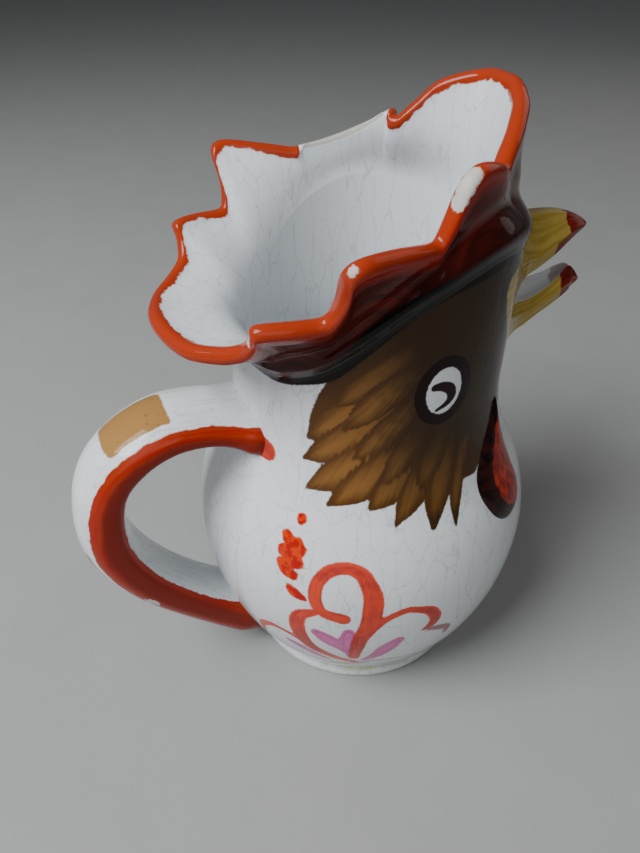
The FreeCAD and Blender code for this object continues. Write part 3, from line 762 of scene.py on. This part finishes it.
def lower_corners(x):
    """Corners of the lower half's section, from its keel round to the trough's floor."""
    width = follow(BEAK_WIDTH, x)
    rim, keel, lip = follow(LOWER_RIM, x), follow(LOWER_KEEL, x), follow(LOWER_LIP, x)
    floor = np.minimum(follow(TROUGH, x), lip - 0.1)
    nil = np.zeros_like(x)
    inner = np.maximum(width - 3.0, width * 0.35)
    corners = [(nil, keel), (width * 0.6, keel + 0.6), (width * 0.93, keel * 0.7 + rim * 0.3 + 0.5),
               (width, rim - 0.3), (width * 0.98, rim + 0.3), (inner, lip), (inner * 0.86, lip - 0.3),
               (inner * 0.7, floor * 0.75 + lip * 0.25), (inner * 0.4, floor + 0.2), (nil, floor)]
    return [np.stack(pair, -1) for pair in corners]


def beak_notes(ends, corner_count, rim_corner):
    """Notes for a half of the beak: how far forward, how far round, and how far from its rim."""
    def notes(across, along):
        x, part = beak_places(across, along, ends)
        around = part * (corner_count - 1)
        return {"reach": x, "round": around, "rim": around - rim_corner}
    return notes


# ---- the wattles
WATTLE = [(50.2, 131), (54, 126), (59.5, 121.5), (66, 115.5), (70.8, 108.5), (71.2, 101),
          (68, 93.5), (63.5, 88.3), (58, 85.8), (51, 86.8), (46.2, 92), (44.4, 101), (44.6, 111),
          (46.3, 121), (48.4, 128.5)]
WATTLE_RED = [(49.4, 128), (52.8, 122.5), (57, 117), (61.6, 111), (63.6, 105), (62.6, 98),
              (59.6, 93), (55.4, 91), (50, 91.6), (46.4, 96), (45.2, 104), (45.4, 112), (47, 121)]
WATTLE_MIDDLE = (56.5, 103.0)
# The wattle's swell, how deep its edge is sunk in the wall, and how deep the middle of its back.
WATTLE_CROWN, WATTLE_SUNK, WATTLE_BACK = 3.4, 0.9, 2.0


def wattle_places(across, along):
    """Turn and level of each place on a wattle, along running from its middle to its edge."""
    ring = smooth_way(WATTLE[-2:] + WATTLE + WATTLE[:2], 8)[16:-8]
    spot = across * (len(ring) - 1)
    turn = np.interp(spot, np.arange(len(ring)), ring[:, 0])
    level = np.interp(spot, np.arange(len(ring)), ring[:, 1])
    return (WATTLE_MIDDLE[0] + (turn - WATTLE_MIDDLE[0]) * along,
            WATTLE_MIDDLE[1] + (level - WATTLE_MIDDLE[1]) * along)


def place_wattle(side):
    def place(across, along):
        front = along <= 0.5
        reach = np.where(front, along * 2, (1 - along) * 2)
        turn, level = wattle_places(across, reach)
        height = np.where(front, WATTLE_CROWN * (1 - reach ** 3.2) ** 0.6 - WATTLE_SUNK,
                          -WATTLE_BACK + (WATTLE_BACK - WATTLE_SUNK) * reach)
        points = on_wall(turn, level)
        out = points * (1, 1, 0)
        out /= np.linalg.norm(out, axis=1)[:, None]
        points = points + out * height[:, None]
        points[:, 1] *= -side
        return points
    return place


def wattle_notes(across, along):
    reach = np.where(along <= 0.5, along * 2, (1 - along) * 2)
    turn, level = wattle_places(across, reach)
    return {"red": patch_depth(on_wall(turn, level), turn, level, WATTLE_RED)}


# ---- glazes
class Value:
    """A number in a glaze that can be used in ordinary sums."""

    def __init__(self, glaze, socket):
        self.glaze, self.socket = glaze, socket

    def _sum(self, operation, first, second):
        return self.glaze.node("ShaderNodeMath", {"operation": operation}, {0: first, 1: second})

    def __add__(self, other):
        return self._sum("ADD", self, other)

    __radd__ = __add__

    def __sub__(self, other):
        return self._sum("SUBTRACT", self, other)

    def __rsub__(self, other):
        return self._sum("SUBTRACT", other, self)

    def __mul__(self, other):
        return self._sum("MULTIPLY", self, other)

    __rmul__ = __mul__

    def most(self, other):
        """The larger of two values."""
        return self._sum("MAXIMUM", self, other)


class Glaze:
    """One fired finish: its material and the nodes that colour it."""

    def __init__(self, name):
        self.material = bpy.data.materials.new(name)
        self.material.use_nodes = True
        self.tree = self.material.node_tree
        self.tree.nodes.clear()

    def node(self, kind, settings=None, inputs=None, output=0):
        """A node of any kind: settings first, then the values or links of its sockets."""
        node = self.tree.nodes.new(kind)
        for name, setting in (settings or {}).items():
            setattr(node, name, setting)
        for key, value in (inputs or {}).items():
            if isinstance(value, Value):
                self.tree.links.new(value.socket, node.inputs[key])
            else:
                node.inputs[key].default_value = value
        return Value(self, node.outputs[output]) if node.outputs else None

    def read(self, name):
        return self.node("ShaderNodeAttribute", {"attribute_name": name}, output="Fac")

    def step(self, value, low, high):
        """A soft step from 0 at low to 1 at high."""
        return self.node("ShaderNodeMapRange", {"interpolation_type": "SMOOTHSTEP"},
                         {"Value": value, "From Min": low, "From Max": high})

    def mix(self, share, first, second):
        """second over first by the given share."""
        return self.node("ShaderNodeMix", {"data_type": "RGBA"},
                         {0: share, 6: colour(first), 7: colour(second)}, output=2)

    def grade(self, value, low, high, first, second):
        """From first to second as the value goes from low to high."""
        return self.mix(self.step(value, low, high), first, second)

    def spread(self, x, y, z=0.0):
        """Three numbers as one place."""
        return self.node("ShaderNodeCombineXYZ", inputs={0: x, 1: y, 2: z})

    def noise(self, where, scale, detail=2.0, rough=0.5):
        return self.node("ShaderNodeTexNoise", inputs={
            "Vector": where, "Scale": scale, "Detail": detail, "Roughness": rough})

    def place(self, stretch=(1, 1, 1)):
        """The piece's own coordinates in millimetres, stretched."""
        here = self.node("ShaderNodeTexCoord", output="Object")
        return self.node("ShaderNodeVectorMath", {"operation": "MULTIPLY"},
                         {0: here, 1: tuple(1000 * s for s in stretch)})

    def uneven(self, broad):
        """Fine grain and broad wobble, both about zero."""
        return (self.noise(self.place(), 0.9, 3.0) - 0.5, self.noise(self.place(), broad, 2.0) - 0.5)

    def cracks(self, where, size, width):
        """Fine lines between cells of a given size, 1 on a line."""
        wander = self.node("ShaderNodeTexNoise", inputs={
            "Vector": where, "Scale": 1.6 / size, "Detail": 2.0}, output="Color")
        shift = self.node("ShaderNodeVectorMath", {"operation": "SCALE"},
                          {0: wander, "Scale": size * 0.7})
        bent = self.node("ShaderNodeVectorMath", {"operation": "ADD"}, {0: where, 1: shift})
        gap = self.node("ShaderNodeTexVoronoi", {"feature": "DISTANCE_TO_EDGE"},
                        {"Vector": bent, "Scale": 1 / size})
        return 1 - self.step(gap, 0.0, width)

    def fire(self, base, roughness, bump, strength, coat=0.15):
        """Join the colour, roughness and relief into the finished glaze."""
        normal = self.node("ShaderNodeBump", inputs={
            "Strength": strength, "Distance": 0.0006, "Height": bump})
        shader = self.node("ShaderNodeBsdfPrincipled", inputs={
            "Base Color": base, "Roughness": roughness, "Normal": normal,
            "Coat Weight": coat, "Coat Roughness": 0.05, "IOR": 1.5,
            "Specular IOR Level": 0.14})
        self.node("ShaderNodeOutputMaterial", inputs={"Surface": shader})
        return self.material


def colour(value):
    """A colour of three numbers with its fourth; a value is left as it is."""
    return (*value, 1.0) if isinstance(value, tuple) and len(value) == 3 else value


WHITE, WHITE_COOL, WHITE_DULL = (0.74, 0.77, 0.79), (0.68, 0.72, 0.76), (0.62, 0.63, 0.62)
CRACK = (0.34, 0.37, 0.40)
ORANGE, ORANGE_DEEP = (0.66, 0.038, 0.003), (0.36, 0.012, 0.003)
RIM_ORANGE = (0.36, 0.034, 0.010)
RED = (0.42, 0.010, 0.004)
MAROON, MAROON_DARK = (0.055, 0.005, 0.003), (0.020, 0.003, 0.002)
MAROON_LIT = (0.150, 0.012, 0.005)
TAIL_RED, BAND_BROWN = (0.26, 0.03, 0.03), (0.20, 0.014, 0.006)
BLACK, WATTLE_BLACK = (0.004, 0.003, 0.002), (0.035, 0.008, 0.006)
RING_BLACK, PUPIL_BLACK = (0.010, 0.001, 0.002), (0.016, 0.003, 0.003)
OCHRE_LIGHT, BROWN, BROWN_DARK = (0.23, 0.105, 0.026), (0.085, 0.034, 0.009), (0.034, 0.018, 0.007)
PATCH_OCHRE, PATCH_SPECK = (0.34, 0.16, 0.022), (0.10, 0.038, 0.010)
# the pale mustard is a painted highlight on the beak's ridge and rim edges
MUSTARD, MUSTARD_DEEP, MUSTARD_HIGHLIGHT = (0.52, 0.38, 0.080), (0.36, 0.23, 0.034), (0.62, 0.50, 0.20)
BRICK, BRICK_DEEP = (0.26, 0.014, 0.005), (0.11, 0.006, 0.003)
WATTLE_BRIGHT, WATTLE_DEEP = (0.50, 0.034, 0.008), (0.20, 0.008, 0.004)
PINK, PINK_DEEP = (0.62, 0.10, 0.34), (0.40, 0.02, 0.20)
GREEN = (0.46, 0.52, 0.28)
CLAY, CLAY_DARK = (0.62, 0.60, 0.55), (0.46, 0.44, 0.40)


def clouded_white(glaze):
    """Uncrackled white glaze; gives its colour and its clouds."""
    cloud = glaze.noise(glaze.place(), 0.02, 3.0)
    return glaze.mix(cloud * 0.5, WHITE, WHITE_COOL), cloud


def white_ground(glaze):
    """White glaze with fine grey crackle; gives its colour and the crackle lines."""
    tall = glaze.cracks(glaze.place((1, 1, 0.2)), 6.5, 0.028)
    small = glaze.cracks(glaze.place((1, 1, 0.6)), 4.5, 0.026)
    patches = glaze.step(glaze.noise(glaze.place(), 0.03), 0.45, 0.62)
    lines = tall.most(small * patches * 0.6)
    ground, cloud = clouded_white(glaze)
    return glaze.mix(lines * (0.22 + cloud * 0.3), ground, CRACK), lines


def jug_glaze():
    """White ground with all the brushwork of the body and the comb."""
    glaze = Glaze("painted_white_glaze")
    mix, step, read, noise, grade = glaze.mix, glaze.step, glaze.read, glaze.noise, glaze.grade
    base, lines = white_ground(glaze)
    fine, wobble = glaze.uneven(0.25)
    turn, comb, crest = read("turn"), read("comb"), read("crest")

    def inside(name, soft=0.35, jitter=0.7):
        return step(read(name) + fine * jitter, -soft, soft)

    # grass tint over the foot, pale ground line and petals
    level = glaze.node("ShaderNodeSeparateXYZ", inputs={0: glaze.place()}, output=2)
    grass = (step(level + wobble * 6, 3, 7) * (1 - step(level + wobble * 6, 14, 18))
             * step(turn, 78, 92) * (1 - step(turn, 128, 142)))
    base = mix(grass * 0.75, base, GREEN)
    streak = noise(glaze.spread(read("petal") * 2.2, level * 0.08), 1.0, 2.0)
    petal = grade(streak, 0.4, 0.65, PINK, PINK_DEEP)
    base = mix(inside("petal") * 0.9, base, petal)
    base = mix(inside("ground", 0.8) * 0.55, base, ORANGE_DEEP)

    # orange brushwork, deeper along the edges of each stroke and streaked along its run
    stroke = read("orange")
    streak = noise(glaze.spread(stroke * 0.5, level * 0.05, turn * 0.04), 1.0, 3.0)
    orange = grade(streak + wobble * 0.4, 0.30, 0.66, ORANGE_DEEP, ORANGE)
    base = mix(inside("orange") * 0.97, base, orange)
    base = mix(inside("tail", 0.6) * 0.85, base, TAIL_RED)
    dab = grade(noise(glaze.place(), 0.35, 2.0), 0.42, 0.6, RED, ORANGE)
    base = mix(inside("dab"), base, dab)

    # feathers: darker at each feather's edge and towards the face, with fine streaks
    fan, reach = read("fan"), read("fan_reach")
    streak = noise(glaze.spread(fan * 0.9, reach * 0.05), 1.0, 4.0, 0.6)
    middle = read("feather_middle")
    light = step(middle * 0.9 + (streak - 0.5) * 0.8, 0.0, 0.8)
    body = mix(light, BROWN, OCHRE_LIGHT)
    faceward = 1 - step(turn + wobble * 14 + (streak - 0.5) * 14, 96, 124)
    upper = step(level + wobble * 8, 108, 134) * 0.5 + 0.44
    body = mix(faceward * upper, body, BROWN_DARK)
    crown = step(comb + wobble * 6 + (streak - 0.5) * 10, -16, -3)
    body = mix(crown * 0.45, body, BROWN_DARK)
    edge = 1 - step(read("feather"), 0.0, 1.2)
    body = mix(edge * 0.6, body, BROWN)
    tips = 1 - step(level + fine * 3 + streak * 4, 103, 107)
    body = mix(tips * 0.8, body, BROWN_DARK)
    base = mix(inside("feather", 0.3, 0.7), base, body)

    # eye
    base = mix(inside("eye_ring", 0.25, 0.4), base, RING_BLACK)
    base = mix(inside("eye_white", 0.25, 0.8), base, WHITE)
    base = mix(inside("pupil", 0.25, 0.3), base, PUPIL_BLACK)

    # yellow cheek
    brush = noise(glaze.spread(turn * 0.15, level * 0.5), 1.0, 3.0)
    cheek = grade(brush, 0.3, 0.7, MUSTARD_DEEP, MUSTARD)
    base = mix(inside("cheek", 0.4), base, cheek)

    # comb: streaks that run with the crest, orange over the rim, deep maroon below it
    streak = noise(glaze.spread(turn * 0.05, crest * 0.35, comb * 0.05), 1.0, 3.0, 0.55)
    red = grade(streak, 0.34, 0.74, MAROON, MAROON_LIT)
    red = mix((1 - step(comb + wobble * 4, 6.0, 14.0)) * 0.8, red, MAROON_DARK)
    glow = 1 - step(crest + (streak - 0.5) * 8 + wobble * 3, 2.0, 8.5)
    red = mix(glow * 0.9, red, ORANGE_DEEP)
    bright = 1 - step(crest + (streak - 0.5) * 3, 0.2, 3.4)
    red = mix(bright, red, RIM_ORANGE)
    on_rim = step(crest + wobble * 3.5 + fine, -4.2, -3.4)
    painted = on_rim * step(comb, 0.0, 0.8)
    base = mix(painted, base, red)
    base = mix(inside("black", 0.35, 0.6), base, BLACK)
    bare = inside("clay", 0.15, 0.3).most(inside("chip", 0.3, 1.6))
    grit = mix(noise(glaze.place(), 0.8, 4.0, 0.7), CLAY, CLAY_DARK)
    base = mix(bare, base, grit)

    relief = fine * 0.12 + wobble * 0.6 - lines * (1 - painted) * 0.15 + painted * streak * 0.25
    rough = 0.10 + fine * 0.05 + lines * 0.08 + bare * 0.5
    return glaze.fire(base, rough, relief, 0.25)


def handle_glaze():
    """White strap with its orange band and ochre patches."""
    glaze = Glaze("strap_glaze")
    mix, step, read = glaze.mix, glaze.step, glaze.read
    sideways, run, edge = read("sideways"), read("run"), read("edge")
    fine, wobble = glaze.uneven(0.2)
    lines = glaze.cracks(glaze.spread(run * 0.16, sideways, edge), 3.8, 0.03)
    base, cloud = clouded_white(glaze)
    base = mix(lines * (0.2 + cloud * 0.4), base, CRACK)
    streak = glaze.noise(glaze.spread(run * 0.03, edge * 0.5), 1.0, 3.0, 0.6)
    orange = glaze.grade(streak, 0.35, 0.62, ORANGE_DEEP, RIM_ORANGE)
    deep = step(edge + wobble * 2, 2.5, 5.5) * (1 - step(edge + wobble * 2, 10.5, 13.5))
    orange = mix(deep * 0.8, orange, BAND_BROWN)
    band = step(read("band") + wobble * 2.4 + fine * 0.5, -0.3, 0.3)
    base = mix(band, base, orange)
    specks = step(glaze.noise(glaze.place(), 0.55, 3.0, 0.7), 0.62, 0.7)
    ochre = mix(specks * 0.7, PATCH_OCHRE, PATCH_SPECK)
    patch = step(read("ochre") + wobble * 1.2 + fine * 0.5, -0.2, 0.4)
    base = mix(patch * 0.95, base, ochre)
    base = mix(step(read("chip") + fine * 2, -0.3, 0.3), base, CLAY)
    relief = fine * 0.15 + wobble * 0.7 - lines * 0.25
    return glaze.fire(base, 0.12 + fine * 0.06, relief, 0.35)


def beak_glaze(upper):
    """Streaked mustard beak with a brick-red tip, a painted highlight on the upper ridge and along
    the rims, and painted shade under the upper rim.
    """
    glaze = Glaze("beak_glaze_upper" if upper else "beak_glaze_lower")
    mix, step = glaze.mix, glaze.step
    reach, around, rim = glaze.read("reach"), glaze.read("round"), glaze.read("rim")
    fine, wobble = glaze.uneven(0.25)
    streak = glaze.noise(glaze.spread(reach * 0.05, around * 5.0), 1.0, 3.0, 0.55)
    base = glaze.grade(streak + wobble * 0.2, 0.25, 0.75, MUSTARD_DEEP, MUSTARD)
    tip = step(reach + wobble * 5 + fine, *((77.5, 78.6) if upper else (81.0, 82.0)))
    if upper:
        # painted highlight: the flat top of the ridge is coloured paler, as if lit from above
        ridge = 1 - step(around + fine * 0.4, 1.0, 1.35)
        base = mix(ridge * 0.6, base, MUSTARD_HIGHLIGHT)
        # painted shade: the underside below the rim is coloured deeper
        shaded_underside = step(around, 4.4, 5.4)
        base = mix(shaded_underside * 0.6, base, MUSTARD_DEEP)
        inner = step(around + fine * 0.3, 6.1, 6.5)
        low_rim = step(reach + wobble * 4, 70, 72) * step(around, 3.2, 3.6)
        tip = tip.most(low_rim)
    else:
        inner = step(around + fine * 0.3, 4.9, 5.2)
    brick = glaze.grade(streak, 0.35, 0.65, BRICK, BRICK_DEEP)
    base = mix(tip, base, brick)
    white = mix(fine + 0.5, WHITE, WHITE_DULL)
    base = mix(inner * (1 - tip * 0.5), base, white)
    # painted highlight: a pale line along the rim's edge
    off_rim = rim + fine * 0.2
    rim_highlight = (1 - step(off_rim * off_rim, 0.0, 0.05)) * 0.5
    base = mix(rim_highlight, base, MUSTARD_HIGHLIGHT)
    return glaze.fire(base, 0.13 + fine * 0.06, fine * 0.2 + streak * 0.5 + wobble * 0.4, 0.35)


def wattle_glaze():
    """Red drop inside a black edge."""
    glaze = Glaze("wattle_glaze")
    fine, wobble = glaze.uneven(0.3)
    streak = glaze.noise(glaze.place((0.6, 0.6, 0.12)), 0.8, 3.0, 0.6)
    centre = glaze.grade(streak, 0.35, 0.65, WATTLE_DEEP, WATTLE_BRIGHT)
    dark = glaze.grade(wobble, -0.2, 0.2, BLACK, WATTLE_BLACK)
    red = glaze.step(glaze.read("red") + wobble * 1.6 + fine * 0.4, -0.3, 0.3)
    base = glaze.mix(red, dark, centre)
    return glaze.fire(base, 0.10 + fine * 0.05, fine * 0.2 + wobble * 0.5, 0.35)


# ---- build
make_jug(jug_glaze())

strap = bent_sheet("strap", 48, 130, place_strap, strap_notes)
finish_piece("handle_strap", strap, handle_glaze(), ("handle",))

# piece, node, points across, section, first and last x, corners in the section, corner at the rim
for name, node, across, corners_at, ends, corner_count, rim_corner in (
        ("beak_top", "beak_upper", 96, upper_corners, (34.0, 89.4), 9, 4),
        ("beak_bottom", "beak_lower", 100, lower_corners, (34.0, 94.0), 10, 3.5)):
    half = bent_sheet(name, across, 90, beak_skin(corners_at, ends),
                      beak_notes(ends, corner_count, rim_corner))
    finish_piece(name, half, beak_glaze(name == "beak_top"), (node,))

dark_red = wattle_glaze()
for node, side in (("wattle_right", 1), ("wattle_left", -1)):
    drop = bent_sheet(node + "_drop", 96, 48, place_wattle(side), wattle_notes)
    finish_piece(node + "_drop", drop, dark_red, (node,))


# ---- studio
def make_floor():
    """The pale floor that the jug stands on."""
    mesh = flat_sheet("floor", 2, 2, 12.0)
    floor = add_object("floor", mesh)
    plain = Glaze("pale_floor")
    grain = plain.noise(plain.place(), 0.02, 3.0)
    tone = plain.mix(grain, (0.33, 0.335, 0.33), (0.37, 0.375, 0.37))
    mesh.materials.append(plain.fire(tone, 0.6 + grain * 0.1, grain, 0.05, coat=0.0))


MIDDLE = Vector((0, 0, 0.11))


def add_light(name, place, size, energy, tint):
    """A soft rectangular lamp that points at the middle of the jug."""
    lamp = bpy.data.lights.new(name, "AREA")
    lamp.shape, lamp.size, lamp.size_y = "RECTANGLE", *size
    lamp.energy, lamp.color = energy, tint
    light = add_object(name, lamp)
    light.location = place
    light.rotation_euler = (MIDDLE - Vector(place)).to_track_quat("-Z", "Y").to_euler()


def add_camera():
    lens = bpy.data.cameras.new("camera")
    lens.sensor_width, lens.lens = 36.0, 28.1
    lens.clip_start, lens.clip_end = 0.01, 20
    camera = add_object("camera", lens)
    camera.location = (-0.0994, -0.1826, 0.2619)
    camera.rotation_euler = (math.radians(52), 0, math.radians(-24))
    bpy.context.scene.camera = camera


make_floor()
add_light("window", (-0.80, -0.12, 1.05), (0.7, 0.6), 22.0, (0.97, 0.985, 1.0))
add_light("front_fill", (-0.75, -1.5, 1.0), (1.6, 1.2), 6.0, (1.0, 0.99, 0.97))
add_light("side_fill", (1.2, 0.2, 0.8), (0.9, 0.9), 1.5, (1.0, 0.95, 0.88))
world = bpy.data.worlds.new("studio")
world.use_nodes = True
world.node_tree.nodes["Background"].inputs["Color"].default_value = (0.85, 0.87, 0.9, 1)
world.node_tree.nodes["Background"].inputs["Strength"].default_value = 0.12
bpy.context.scene.world = world
add_camera()
